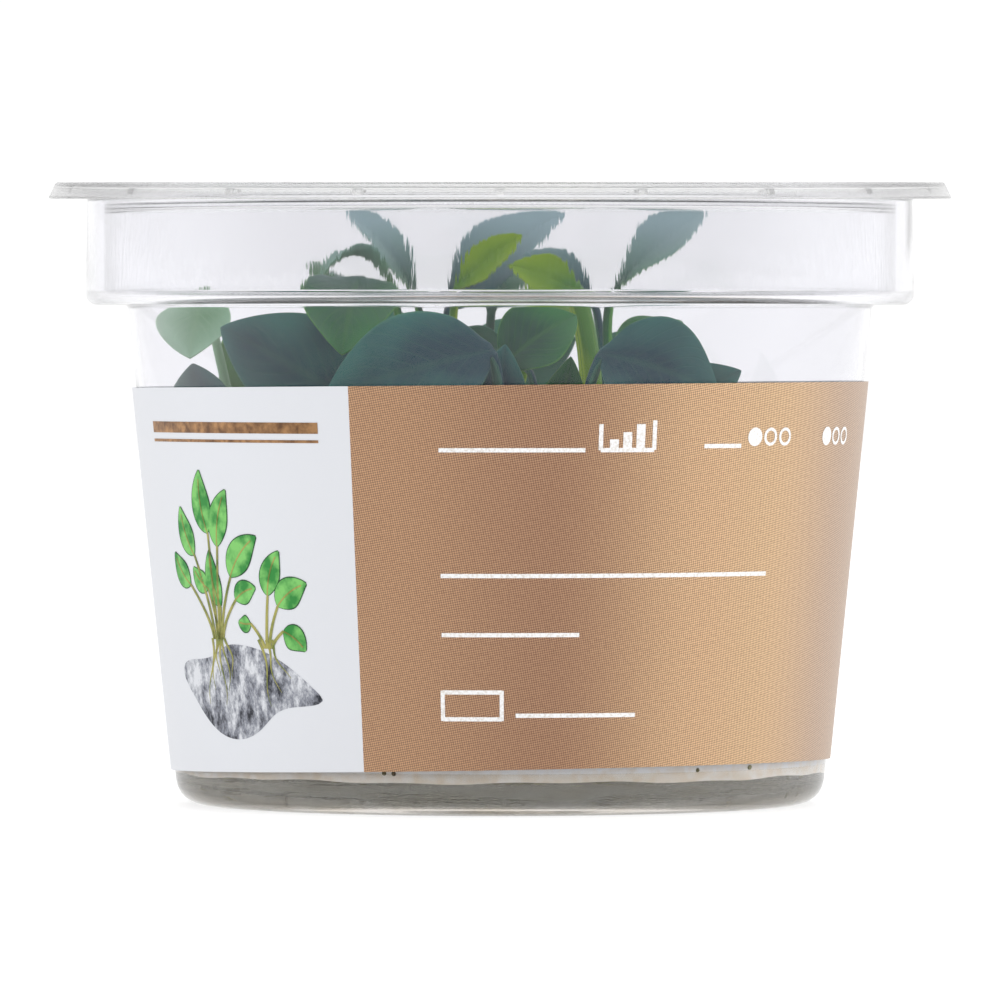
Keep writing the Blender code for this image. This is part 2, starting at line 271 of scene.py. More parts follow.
# ---------------------------------------------------------------- lid
# A second moulding in the same plastic: a recessed panel, a skirt that plugs the collar,
# and a wide flange with a down-turned lip and short stiffening ribs beneath it.

LID_TOP_Z = 71.4
PANEL_Z = 69.0
FLANGE_R = 51.9
SKIRT_R = 45.5
RIBS = 20

# The skirt is a little duller than the cup: fine mist and draw lines left by the mould.
clear_lid, tree, shader = finish(
    "clear_polypropylene_lid",
    {
        "Base Color": "ffffff",
        "Roughness": 0.04,
        "IOR": 1.49,
        "Transmission Weight": 1.0,
    },
)
place = add_node(tree, "TexCoord").outputs["Object"]
draw = add_node(tree, "Mapping", {"Scale": (1.0, 1.0, 0.14)}, {"Vector": place})
mist = add_node(tree, "TexNoise", {"Scale": 2000, "Detail": 2.0}, {"Vector": draw.outputs["Vector"]})
lines = add_node(tree, "Bump", {"Strength": 0.1, "Distance": 0.0001}, {"Height": mist.outputs["Fac"]})
tree.links.new(lines.outputs["Normal"], shader.inputs["Normal"])
matt_band(tree, shader, 69.35, 72.5, 0.2, 0.04)

flange_under = LID_TOP_Z - WALL
lid_line = rounded(
    [
        (0, PANEL_Z, 0),
        (37.6, PANEL_Z, 0.3),
        (38.4, PANEL_Z + 0.5, 0.3),
        (39.2, PANEL_Z, 0.3),
        (45.2, PANEL_Z, 0.5),
        (45.5, LID_TOP_Z, 0.5),
        (FLANGE_R - 0.9, LID_TOP_Z, 0.5),
        (FLANGE_R, 69.5, 0.15),
        (FLANGE_R - 0.7, 69.5, 0.15),
        (FLANGE_R - 1.3, flange_under, 0.4),
        (collar_in - 0.3, flange_under, 0.3),
        (collar_in - 0.3, 69.3, 0.3),
        (SKIRT_R, 68.6, 0.3),
        (SKIRT_R, 58.5, 0.3),
        (SKIRT_R - WALL, 58.5, 0.3),
        (SKIRT_R - WALL, PANEL_Z - WALL, 0.6),
        (0, PANEL_Z - WALL, 0),
    ]
)
lid = surface("lid_finish", [settled(turned(lid_line))], clear_lid, ["lid"])
lid.visible_shadow = False  # as the cup

rib_corners = np.array([(49.3, 70.55), (50.9, 70.55), (51.0, 69.9), (49.3, 70.2)])
rib_half = 0.5
ribs = []
for rib in range(RIBS):
    azimuth = math.tau * rib / RIBS
    across = np.array([-rib_half, rib_half])[:, None]
    out, z = rib_corners[:, 0], rib_corners[:, 1]
    x = out * math.sin(azimuth) + across * math.cos(azimuth)
    y = -out * math.cos(azimuth) + across * math.sin(azimuth)
    ribs.append(np.stack([x, y, z + 0 * across], -1))
surface("lid_ribs", [settled(rib) for rib in ribs], clear_lid, caps=True)

# ---------------------------------------------------------------- label
# A printed polypropylene film wrapped once round the cup and lapped over itself at the back:
# a white panel on the left, and a copper-coloured screened panel round the front and right.

LABEL_GAP = 0.3
LABEL_THICK = 0.16
SEAM = 155.0  # azimuth, in degrees, of the lap at the back
LAP = 9.0
PANEL_EDGE = -23.6  # azimuth, in degrees, where the white panel meets the copper one
ARC_R = 40.0  # the label's mean radius, which turns azimuth to millimetres of print
PRINT_SCALE = 100  # millimetres of print to one unit of the pattern's coordinates


def label_edges(azimuth):
    """Height of the lower and upper edges: the sleeve sits a little askew, so both swing with azimuth."""
    low = 4.55 + 0.65 * np.sin(azimuth) + 0.75 * np.cos(azimuth)
    high = 48.15 + 0.35 * np.sin(azimuth) + 0.1 * np.cos(azimuth)
    return low, high


def label_grid(heights=24, around=AROUND):
    """One row per azimuth; its columns run up the inner face and down the outer one. The radius is the
    wall's, plus the gap, plus a rise of one thickness where the end laps over the start. The inner
    face's pattern is moved far to the left of the copper panel's edge, so it stays bare."""
    azimuth = np.radians(np.linspace(SEAM - 360 - LAP, SEAM, around))[:, None]
    low, high = label_edges(azimuth)
    share = np.linspace(0, 1, heights)
    share = np.concatenate([share, share[::-1]])
    z = low + (high - low) * share
    depth = np.concatenate([np.zeros(heights), np.full(heights, LABEL_THICK)])
    lifted = np.clip((np.radians(SEAM - 360 + 2) - azimuth) / np.radians(2), 0, 1)
    r = wall_r(z, -LABEL_GAP - depth - lifted * (LABEL_THICK + 0.03))
    bare = np.concatenate([np.full(heights, -5.0), np.zeros(heights)])
    uv = np.stack([azimuth * ARC_R / PRINT_SCALE + bare + 0 * z, z / PRINT_SCALE], -1)
    return np.stack([r * np.sin(azimuth), -r * np.cos(azimuth), z], -1), uv


def ramp(tree, factor, stops, curve="LINEAR"):
    """The colour at a factor on a ramp of stops, each a position and an sRGB hex."""
    made = add_node(tree, "ValToRGB", links={"Fac": factor})
    made.color_ramp.interpolation = curve
    ends = made.color_ramp.elements
    for end, (position, code) in zip((ends[0], ends[-1]), (stops[0], stops[-1])):
        end.position, end.color = position, linear(code)
    for position, code in stops[1:-1]:
        ends.new(position).color = linear(code)
    return made.outputs["Color"]


def blend(tree, share, first, second, way="MIX"):
    """Two colours mixed by a share of 0 to 1, each an sRGB hex or another node's output."""
    made = add_node(tree, "Mix", {"data_type": "RGBA", "blend_type": way})
    for number, value in ((0, share), (6, first), (7, second)):
        feed(tree, made.inputs[number], value)
    return made.outputs[2]


# Copper ink screened over white film: a fine weave of dots about a third of a millimetre
# apart, browner in the shade and golden where it turns to the light. Satin varnish on top.
DOT_PITCH = 0.36
printed, tree, shader = finish(
    "printed_label_film",
    {
        "Roughness": 0.42,
        "IOR": 1.5,
        "Coat Weight": 0.15,
        "Coat Roughness": 0.3,
    },
)
pattern = add_node(tree, "UVMap", {"uv_map": "pattern"}).outputs["UV"]
arc = parted(tree, pattern)["X"]
slant = {"Scale": (PRINT_SCALE, PRINT_SCALE, 1), "Rotation": (0, 0, 0.6)}
screen = parted(tree, add_node(tree, "Mapping", slant, {"Vector": pattern}).outputs["Vector"])
waves = [maths(tree, "SINE", maths(tree, "MULTIPLY", screen[way], math.tau / DOT_PITCH)) for way in "XY"]
grain = add_node(tree, "TexNoise", {"Scale": 260, "Detail": 3.0}, {"Vector": pattern}).outputs["Fac"]
dots = maths(tree, "ADD", maths(tree, "MULTIPLY", *waves), grain)
ink = ramp(tree, dots, [(0.1, "b4957a"), (0.95, "f7dcb6")])
# Painted sheen and shade round the copper panel: painted shade left of the front, a painted golden highlight
# round to the right where the ink turns to the light.
painted_sheen_tones = [(0.1, "ead5cc"), (0.36, "d3bcb6"), (0.61, "f9ece2"), (0.76, "f2e9de"), (1.0, "d8d4dc")]
painted_sheen = ramp(tree, remap(tree, arc, -0.2, 0.5), painted_sheen_tones, "EASE")
is_copper = maths(tree, "GREATER_THAN", arc, math.radians(PANEL_EDGE) * ARC_R / PRINT_SCALE)
film = blend(tree, is_copper, "dddfe4", blend(tree, 1.0, ink, painted_sheen, "MULTIPLY"))
tree.links.new(film, shader.inputs["Base Color"])
tree.links.new(maths(tree, "MULTIPLY", is_copper, 0.4), shader.inputs["Metallic"])
weave = add_node(tree, "Bump", {"Strength": 0.08, "Distance": 0.00002}, {"Height": dots})
tree.links.new(weave.outputs["Normal"], shader.inputs["Normal"])

grid, uv = label_grid()
wide_uv = np.concatenate([uv, uv[:, :1]], 1)
surface("label_finish", [grid], printed, ["label"], uvs=[wide_uv], caps=True)

# ---------------------------------------------------------------- label print
# Inks laid on the film: a small drawn sprig on a stone on the white panel, plain rules, and
# white write-on lines and dot gauges on the copper panel. The label carries no lettering.


def unit(vectors):
    """Each vector over its length."""
    return vectors / np.linalg.norm(vectors, axis=-1, keepdims=True)


def ink_strip(path, half, lift=0.02):
    """A flat stroke: at each point of the path (arc, height) it runs half to each side, and is laid on
    the cone at azimuth = arc / mean radius, radius = film's face + lift."""
    path = np.asarray(path, float)
    half = np.broadcast_to(np.asarray(half, float), len(path))[:, None]
    way = unit(np.gradient(path, axis=0))
    across = np.linspace(-1, 1, 9)
    across = np.concatenate([across, across[::-1]])
    arc = path[:, :1] - way[:, 1:] * half * across
    z = path[:, 1:] + way[:, :1] * half * across
    depth = np.concatenate([np.full(9, lift + 0.02), np.full(9, lift)])
    r = wall_r(z, -LABEL_GAP - LABEL_THICK - depth)
    azimuth = arc / ARC_R
    return np.stack([r * np.sin(azimuth), -r * np.cos(azimuth), z], -1)


def straight(start, end, half, count=None):
    """A ruled line from start to end."""
    count = count or max(2, int(abs(end[0] - start[0])) + 2)
    return ink_strip(np.linspace(start, end, count), half)


def spot_ink(centre, radius):
    """A filled dot: strokes of half height sqrt(radius^2 - x^2)."""
    x = radius * np.cos(np.linspace(math.pi, 0, 25))
    half = np.sqrt(np.clip(radius**2 - x**2, 1e-6, None))
    return ink_strip(np.stack([centre[0] + x, centre[1] + 0 * x], 1), half)


def ring_ink(centre, radius, half):
    """An open circle drawn with a stroke of the given half width."""
    angle = np.linspace(0, math.tau - 0.01, 40)
    path = np.stack([centre[0] + radius * np.cos(angle), centre[1] + radius * np.sin(angle)], 1)
    return ink_strip(path, half)


def mottled(tree, shader, scale, detail, stops, stretch=1.0, roughness=0.5):
    """Base colour: cloud noise over Object coordinates, its heights scaled by stretch, turned to
    colours by a ramp."""
    place = add_node(tree, "TexCoord").outputs["Object"]
    flat = add_node(tree, "Mapping", {"Scale": (1.0, 1.0, stretch)}, {"Vector": place})
    grades = {"Scale": scale, "Detail": detail, "Roughness": roughness}
    cloud = add_node(tree, "TexNoise", grades, {"Vector": flat.outputs["Vector"]}).outputs["Fac"]
    tree.links.new(ramp(tree, cloud, stops), shader.inputs["Base Color"])
    return cloud


# White ink: dense and matte, a little broken where it covers the screen beneath.
white_ink, tree, shader = finish("white_ink", {"Roughness": 0.5, "IOR": 1.5})
mottled(tree, shader, 3500, 2.0, [(0.3, "dcd6cf"), (0.55, "f4f4f4")])

RULE = 0.24  # half thickness of a ruled line
marks = [
    straight((-6.6, 41.0), (9.2, 41.0), RULE),
    straight((10.9, 41.0), (17.0, 41.0), RULE),
    ink_strip([(10.9, 41.0), (10.9, 43.9)], RULE),
    ink_strip([(17.0, 41.0), (17.0, 44.3)], RULE),
    ink_strip([(12.4, 41.2), (12.4, 42.2)], 0.5),
    ink_strip([(13.9, 41.2), (13.9, 43.0)], 0.5),
    ink_strip([(15.4, 41.2), (15.4, 43.9)], 0.5),
    straight((23.2, 41.4), (28.2, 41.4), RULE),
    straight((-6.6, 27.0), (33.5, 27.0), RULE),
    straight((-6.6, 20.4), (9.0, 20.4), RULE),
    straight((-6.6, 11.0), (0.2, 11.0), RULE),
    straight((-6.6, 14.0), (0.2, 14.0), RULE),
    ink_strip([(-6.6, 10.8), (-6.6, 14.2)], RULE),
    ink_strip([(0.2, 10.8), (0.2, 14.2)], RULE),
    straight((1.8, 11.4), (16.0, 11.4), RULE),
]
for first in (30.2, 43.5):
    marks.append(spot_ink((first, 42.4), 1.05))
    marks += [ring_ink((first + 2.4 * turn, 42.4), 0.85, 0.17) for turn in (1, 2)]
surface("label_print_white", marks, white_ink, caps=True)

# Copper ink for the rules on the white panel, front and back.
copper_ink, tree, shader = finish("copper_ink", {"Roughness": 0.4, "Metallic": 0.5})
mottled(tree, shader, 900, 3.0, [(0.35, "7b5a42"), (0.65, "c29467")])

rules = [straight((-49.0, 43.4), (-20.3, 43.4), 0.62), straight((-49.0, 41.9), (-20.3, 41.9), 0.16)]
for row_z in (38.0, 33.0, 28.0, 23.0, 18.0):
    rules.append(straight((-112.0, row_z), (-78.0 - 0.4 * (38 - row_z), row_z), 0.16))
surface("label_print_copper", rules, copper_ink, caps=True)

# The drawn stone: grey chalk hatching that leaves the film showing in its hollows.
stone_ink, tree, shader = finish("stone_ink", {"Roughness": 0.6})
mottled(tree, shader, 420, 6.0, [(0.38, "2c2e36"), (0.48, "8b8e98"), (0.6, "d9dbe0")], 0.55, 0.75)

across = np.linspace(0, 1, 60)
ridge = 19.4 - 0.9 * np.sin(across * 7.5) - 3.5 * across**2
ground = 9.2 + 1.1 * np.sin(across * 9 + 1) + 2.2 * (2 * across - 1) ** 2
body = np.sqrt(np.clip(np.sin(across * math.pi), 0.002, 1))
stone_path = np.stack([-46.5 + 25 * across, (ridge + ground) / 2], 1)
drawn_stone = ink_strip(stone_path, (ridge - ground) / 2 * body, 0.01)
surface("label_print_stone", [drawn_stone], stone_ink, caps=True)


def ink_material(name, dark, light):
    """A drawn ink whose tone drifts between two greens over about a millimetre."""
    made, tree, shader = finish(name, {"Roughness": 0.55})
    mottled(tree, shader, 520, 3.0, [(0.38, dark), (0.6, light)])
    return made


green_ink = ink_material("green_ink", "2f8a3a", "7fc86a")
outline_ink = ink_material("outline_ink", "1d4a2a", "3a6a3c")
stalk_ink = ink_material("stalk_ink", "6d7a36", "a8a35a")

# Drawn leaves: where each stalk leaves the stone, where its blade starts and ends, and its width.
SPRIG = [
    ((-37.5, 19.5), (-37.8, 31.5), (-38.6, 38.6), 3.4),
    ((-37.0, 19.5), (-36.2, 30.0), (-34.0, 36.4), 3.2),
    ((-38.0, 19.5), (-41.0, 29.0), (-43.4, 34.4), 3.0),
    ((-38.2, 19.5), (-42.4, 25.6), (-45.8, 29.2), 2.8),
    ((-36.6, 19.5), (-34.2, 26.6), (-29.6, 31.2), 3.6),
    ((-37.2, 19.5), (-38.6, 25.2), (-41.4, 27.6), 2.4),
    ((-36.4, 19.5), (-33.6, 24.0), (-30.2, 25.4), 2.6),
    ((-29.0, 18.6), (-28.4, 24.6), (-26.4, 29.6), 2.8),
    ((-28.6, 18.6), (-27.0, 23.4), (-22.8, 26.0), 3.4),
    ((-28.2, 18.6), (-26.4, 20.6), (-23.4, 18.4), 2.8),
    ((-29.4, 18.6), (-31.4, 21.4), (-33.4, 21.6), 1.8),
    ((-36.9, 19.5), (-36.4, 23.2), (-37.8, 29.6), 2.6),
]
blades, outlines, stalks = [], [], []
for foot, start, end, width in SPRIG:
    foot, start, end = np.array(foot), np.array(start), np.array(end)
    t = np.linspace(0, 1, 22)[:, None]
    bow = np.array([-(end - start)[1], (end - start)[0]]) * 0.08
    spine = start + (end - start) * t + bow * 4 * t * (1 - t)
    half = width / 2 * np.sin(math.pi * np.clip(t[:, 0], 0.004, 0.996) ** 0.8) ** 0.85
    outlines.append(ink_strip(spine, half + 0.14, 0.03))
    blades.append(ink_strip(spine, half, 0.05))
    stalks.append(ink_strip(spine[:-3], 0.09, 0.08))
    rise = foot + (start - foot) * np.stack([t[:, 0] ** 1.6, t[:, 0]], 1)
    stalks.append(ink_strip(rise, 0.22 - 0.06 * t[:, 0], 0.05))
# Nine drawn roots hang over the stone, six from the first sprig and three from the second.
for sway in range(9):
    t = np.linspace(0, 1, 16)
    start = -38.6 + 0.55 * sway if sway < 6 else -30.2 + 0.8 * (sway - 6)
    drift = start + (sway - 3) * 0.5 * t + 0.4 * np.sin(t * 6 + sway)
    fall = np.stack([drift, 19.6 - (7.5 - (sway % 3) * 1.6) * t], 1)
    stalks.append(ink_strip(fall, 0.17 * (1.1 - t), 0.04))
surface("label_print_outlines", outlines, outline_ink, caps=True)
surface("label_print_leaves", blades, green_ink, caps=True)
surface("label_print_stalks", stalks, stalk_ink, caps=True)

# ---------------------------------------------------------------- gel
# A shallow disc of set nutrient gel, cast in the cup: cloudy, faintly warm and wet,
# with a low meniscus where it climbs the wall and a paler rim where it dries there.

GEL_Z = 4.1
CLIMB = 0.7  # how far the meniscus rises at the wall
DRY_TOP = 6.1  # mean height of the drying rim's upper edge
nutrient_gel, tree, shader = finish(
    "cloudy_nutrient_gel",
    {
        "Roughness": 0.06,
        "IOR": 1.34,
        "Transmission Weight": 0.95,
    },
)
cloud = mottled(tree, shader, 160, 4.0, [(0.35, "efe6d6"), (0.7, "fdf8f0")], 7.0)
ripples = add_node(tree, "Bump", {"Strength": 0.15, "Distance": 0.0004}, {"Height": cloud})
tree.links.new(ripples.outputs["Normal"], shader.inputs["Normal"])
# Light is taken up with depth: about two thirds of it over 40 mm of gel.
depth = add_node(tree, "VolumeAbsorption", {"Density": 44.0})
depth.inputs["Color"].default_value = linear("a2a6a0")
tree.links.new(depth.outputs["Volume"], tree.nodes["Material Output"].inputs["Volume"])

OVERLAP = 0.02  # the gel wets the cup, so its skin runs this far into the plastic
gel_low = floor_z - OVERLAP
gel_line = rounded(
    [
        (0, GEL_Z, 0),
        (35.6, GEL_Z, 0.9),
        (wall_r(GEL_Z + CLIMB, WALL - OVERLAP), GEL_Z + CLIMB, 0),
        (wall_r(gel_low, WALL - OVERLAP), gel_low, 2.2),
        (0, gel_low, 0),
    ]
)
gel = surface("gel_finish", [turned(gel_line)], nutrient_gel, ["gel"])
gel.visible_shadow = False  # its absorption darkens it, not a shadow

# The drying rim: a thin opaque band of gel up the wall, its edges wandering by the sum of two
# slow waves round the cup, each face a strip of the wall's cone.
drying_gel, tree, shader = finish("drying_gel", {"Roughness": 0.35, "IOR": 1.38})
mottled(tree, shader, 700, 4.0, [(0.35, "f6efe6"), (0.6, "ffffff")])
azimuth = np.linspace(0, math.tau, AROUND, endpoint=False)[:, None]
low = GEL_Z - 0.3 + 0.1 * np.sin(7 * azimuth) + 0.08 * np.sin(19 * azimuth + 1)
high = DRY_TOP + 0.12 * np.sin(5 * azimuth + 2) + 0.1 * np.sin(23 * azimuth)
z = np.concatenate([low, (low + high) / 2, high, high, (low + high) / 2, low], 1)
r = wall_r(z, WALL + np.array([-0.01, -0.01, -0.01, 0.1, 0.14, 0.16]))
rim = np.stack([r * np.sin(azimuth), -r * np.cos(azimuth), z], -1)
surface("gel_meniscus", [np.concatenate([rim, rim[:1]])], drying_gel)

# ---------------------------------------------------------------- rhizomes
# Each plantlet creeps on a short green stem, ringed by the scars of old leaves.
# The stems lie on the gel; every leaf and root grows from one.

RHIZOME_R = 2.1
RHIZOMES = {
    "rhizome_1": ((-23.0, -9.0, 7.2), 20, 13.0),
    "rhizome_2": ((-7.0, -18.0, 7.0), 75, 12.0),
    "rhizome_3": ((8.5, -17.0, 7.3), 110, 13.0),
    "rhizome_4": ((22.5, -6.0, 7.0), 150, 12.0),
    "rhizome_5": ((2.0, 0.5, 7.4), 5, 14.0),
    "rhizome_6": ((-20.0, 11.5, 7.1), 330, 13.0),
    "rhizome_7": ((-3.0, 20.5, 7.2), 95, 12.0),
    "rhizome_8": ((17.5, 14.5, 7.0), 40, 13.0),
}


def tube(path, radii, sides=16):
    """A circle carried along a path: centre + radius * (side cos a + up sin a), side and up square to
    the path's direction."""
    way = unit(np.gradient(path, axis=0))
    lean = np.where(np.abs(way[:, 2:]) > 0.9, [[1.0, 0, 0]], [[0, 0, 1.0]])
    if np.abs(way[:, 2]).max() > 0.9:
        lean = np.broadcast_to([[0.9, 0.3, 0.1]], way.shape)
    side = unit(np.cross(way, lean))
    up = np.cross(side, way)
    angle = np.linspace(0, math.tau, sides, endpoint=False)[None, :, None]
    ring = side[:, None] * np.cos(angle) + up[:, None] * np.sin(angle)
    return path[:, None] + ring * np.reshape(radii, (-1, 1, 1))


# Living stem skin: olive green, paler between the scars, with a dull waxy gloss.
stem_skin, tree, shader = finish(
    "rhizome_skin", {"Roughness": 0.5, "IOR": 1.42, "Subsurface Weight": 0.1, "Subsurface Scale": 0.001}
)
mottle = mottled(tree, shader, 700, 4.0, [(0.3, "4a5a26"), (0.75, "8f9a55")])
scars = add_node(tree, "Bump", {"Strength": 0.5, "Distance": 0.0002}, {"Height": mottle})
tree.links.new(scars.outputs["Normal"], shader.inputs["Normal"])

for name, (middle, heading, length) in RHIZOMES.items():
    turn = math.radians(heading)
    share = np.linspace(-1, 1, 61)
    path = np.array(middle) + np.outer(share * length / 2, [math.cos(turn), math.sin(turn), 0])
    rings = 1 + 0.06 * np.cos(share * 26) + 0.03 * np.cos(share * 71)
    radii = RHIZOME_R * np.sqrt(np.clip(1 - share**4, 0, 1)) * rings * (0.86 - 0.1 * share)
    surface(name + "_finish", [tube(path, radii, 24)], stem_skin, [name])

# ---------------------------------------------------------------- leaves
# Thirty-six firm, waxy leaves, each a round stalk that flattens into an egg-shaped blade
# with a sunk midrib. Old blades are dark blue-green; young ones are still yellow-green.

LEAVES = {
    "leaf_01": (1, -2.2, (-33.8, -1.5, 58.8), (-35.1, -12.5, 51.2), 8.4, (-0.1, -0.6, 0.8), 1.2, 0.6, "pale"),
    "leaf_02": (1, -4.6, (-31.4, -6.5, 37.5), (-35.0, -8.5, 50.6), 8.0, (-0.3, -1.0, 0.1), 0.6, 0.6, "old"),
    "leaf_03": (1, 5.3, (-15.5, -9.5, 45.5), (-31.7, -11.8, 54.7), 13.0, (0.0, -1.0, 0.2), 1.0, 0.7, "old"),
    "leaf_04": (1, 0.2, (-16.0, -9.0, 60.0), (-17.8, -20.0, 51.6), 11.4, (0.0, -0.6, 0.8), 1.4, 0.6, "grown"),
    "leaf_05": (1, 2.4, (-12.4, -4.6, 59.4), (-20.8, -6.5, 59.6), 7.0, (0.0, 0.05, 1.0), 3.4, 0.6, "grown"),
    "leaf_06": (2, -4.4, (-1.0, -25.0, 52.0), (-19.6, -28.0, 46.8), 12.6, (0.0, -1.0, 0.3), 1.6, 0.8, "old"),
    "leaf_07": (2, -2.0, (-1.6, -20.8, 38.0), (0.6, -23.2, 52.8), 8.0, (0.1, -1.0, 0.1), 0.6, 0.6, "old"),
    "leaf_08": (2, 4.4, (-9.4, 1.5, 57.0), (-17.6, 0.0, 67.7), 8.6, (0.7, -0.4, 0.55), 1.0, 0.6, "grown"),
    "leaf_09": (3, -4.8, (11.4, -24.5, 51.6), (24.4, -25.5, 47.2), 11.6, (0.1, -1.0, 0.35), 1.8, 0.8, "old"),
    "leaf_10": (2, 2.4, (0.4, -21.0, 50.4), (8.6, -18.0, 56.0), 8.8, (-0.3, -0.9, 0.4), 1.0, 0.6, "grown"),
    "leaf_11": (3, 4.4, (4.8, -16.5, 39.0), (8.0, -20.5, 51.4), 6.6, (0.3, -0.9, 0.2), 0.6, 0.6, "grown"),
    "leaf_12": (3, -1.2, (8.6, -10.5, 58.4), (1.0, -11.5, 61.4), 5.4, (0.2, -0.85, 0.5), 0.8, 1.5, "young"),
    "leaf_13": (4, 4.6, (15.2, -15.5, 43.0), (27.2, -18.0, 49.8), 8.4, (0.0, -1.0, 0.3), 0.8, 0.6, "old"),
    "leaf_14": (4, 2.2, (12.6, -5.0, 57.8), (23.6, -4.0, 67.5), 8.4, (-0.55, -0.55, 0.6), 1.0, 0.7, "grown"),
    "leaf_15": (5, -4.4, (-5.8, 3.0, 57.2), (7.4, 1.0, 67.4), 9.6, (-0.35, -0.7, 0.6), 1.2, 0.7, "old"),
    "leaf_16": (5, -1.6, (-4.9, -6.0, 58.9), (2.5, -8.0, 64.9), 4.8, (-0.4, -0.8, 0.45), 0.5, 0.6, "young"),
    "leaf_17": (5, 4.6, (11.0, -0.4, 57.0), (2.8, -3.6, 62.6), 6.2, (0.3, -0.8, 0.5), 0.6, 0.6, "old"),
    "leaf_18": (6, -4.8, (-26.0, 13.5, 46.0), (-31.5, 4.0, 54.5), 9.4, (-1.0, 0.6, 0.3), 1.0, 0.6, "grown"),
    "leaf_19": (6, -2.4, (-22.5, 18.5, 46.0), (-13.0, 27.5, 54.0), 10.6, (-0.6, 0.9, 0.3), 1.0, 0.6, "old"),
    "leaf_20": (6, 0.2, (-17.0, 12.5, 59.0), (-20.0, 22.5, 56.5), 9.0, (0.1, 0.4, 0.9), 2.0, 0.6, "grown"),
    "leaf_21": (6, 4.4, (-12.5, 7.5, 49.0), (-14.5, 12.5, 58.0), 7.6, (0.3, 0.9, 0.3), 0.8, 0.6, "old"),
    "leaf_22": (7, 4.4, (-5.0, 28.5, 47.5), (9.0, 30.0, 53.5), 10.8, (0.1, 1.0, 0.3), 1.0, 0.7, "old"),
    "leaf_23": (7, 2.2, (-7.0, 22.0, 34.0), (-15.5, 27.5, 42.5), 8.8, (-0.3, 0.9, 0.4), 0.8, 0.6, "grown"),
    "leaf_24": (7, -0.2, (-1.0, 17.0, 57.0), (0.5, 26.0, 62.5), 7.4, (0.1, -0.5, 0.9), 0.8, 0.6, "grown"),
    "leaf_25": (7, -2.6, (4.0, 12.5, 55.0), (9.4, 19.5, 60.0), 7.0, (0.2, -0.5, 0.9), 1.0, 0.6, "young"),
    "leaf_26": (8, 4.6, (23.5, 18.5, 41.5), (26.0, 6.5, 49.5), 8.6, (1.0, 0.4, 0.4), 1.0, 0.6, "grown"),
    "leaf_27": (8, 2.2, (20.5, 20.0, 45.0), (13.0, 27.5, 54.0), 9.4, (0.6, 0.8, 0.3), 0.8, 0.6, "old"),
    "leaf_28": (8, 0.0, (15.0, 13.0, 50.5), (21.0, 18.5, 55.5), 8.4, (0.1, -0.2, 1.0), 1.0, 0.6, "grown"),
    "leaf_29": (8, -2.4, (14.5, 7.0, 47.0), (22.0, 1.0, 54.0), 8.2, (0.6, 0.3, 0.7), 1.0, 0.6, "old"),
    "leaf_30": (4, -0.2, (30.0, -5.0, 29.0), (35.0, 4.0, 36.5), 8.2, (0.9, -0.1, 0.6), 0.8, 0.6, "grown"),
    "leaf_31": (4, -4.4, (29.0, -12.5, 24.0), (29.5, -22.5, 32.0), 7.6, (0.8, -0.5, 0.4), 0.8, 0.5, "young"),
    "leaf_32": (2, 0.6, (-12.5, -20.0, 30.0), (-21.5, -26.0, 38.5), 8.4, (-0.4, -0.8, 0.5), 0.8, 0.5, "grown"),
    "leaf_33": (5, 1.8, (3.5, 6.0, 49.5), (-6.0, 9.0, 54.0), 7.8, (0.1, 0.3, 1.0), 1.0, 0.6, "old"),
    "leaf_34": (6, 2.2, (-20.5, 4.0, 30.0), (-29.0, 1.5, 37.0), 7.6, (-0.3, -0.2, 0.9), 0.8, 0.5, "young"),
    "leaf_35": (8, -4.8, (10.0, 15.0, 33.0), (7.5, 25.5, 40.0), 8.0, (0.2, 0.6, 0.7), 0.8, 0.5, "grown"),
    "leaf_36": (4, -2.3, (24.0, -12.5, 33.0), (19.5, -23.0, 39.5), 7.4, (0.2, -0.5, 0.8), 1.0, 0.5, "grown"),
}
# Most blades are fullest near the base and pointed; these few are fullest near a blunt tip.
POINTED = 0.82
BLUNT = {"leaf_01": 1.5, "leaf_02": 1.3, "leaf_08": 1.5, "leaf_14": 1.6, "leaf_16": 1.0, "leaf_17": 1.2}


def half_width(t, width, fullest):
    """Half the blade's width at share t of its length: width/2 * sin(pi * t^fullest)^0.8, pointed at
    the tip when fullest is below one and blunt above it."""
    return width / 2 * np.sin(math.pi * np.clip(t, 0, 1) ** fullest) ** 0.8


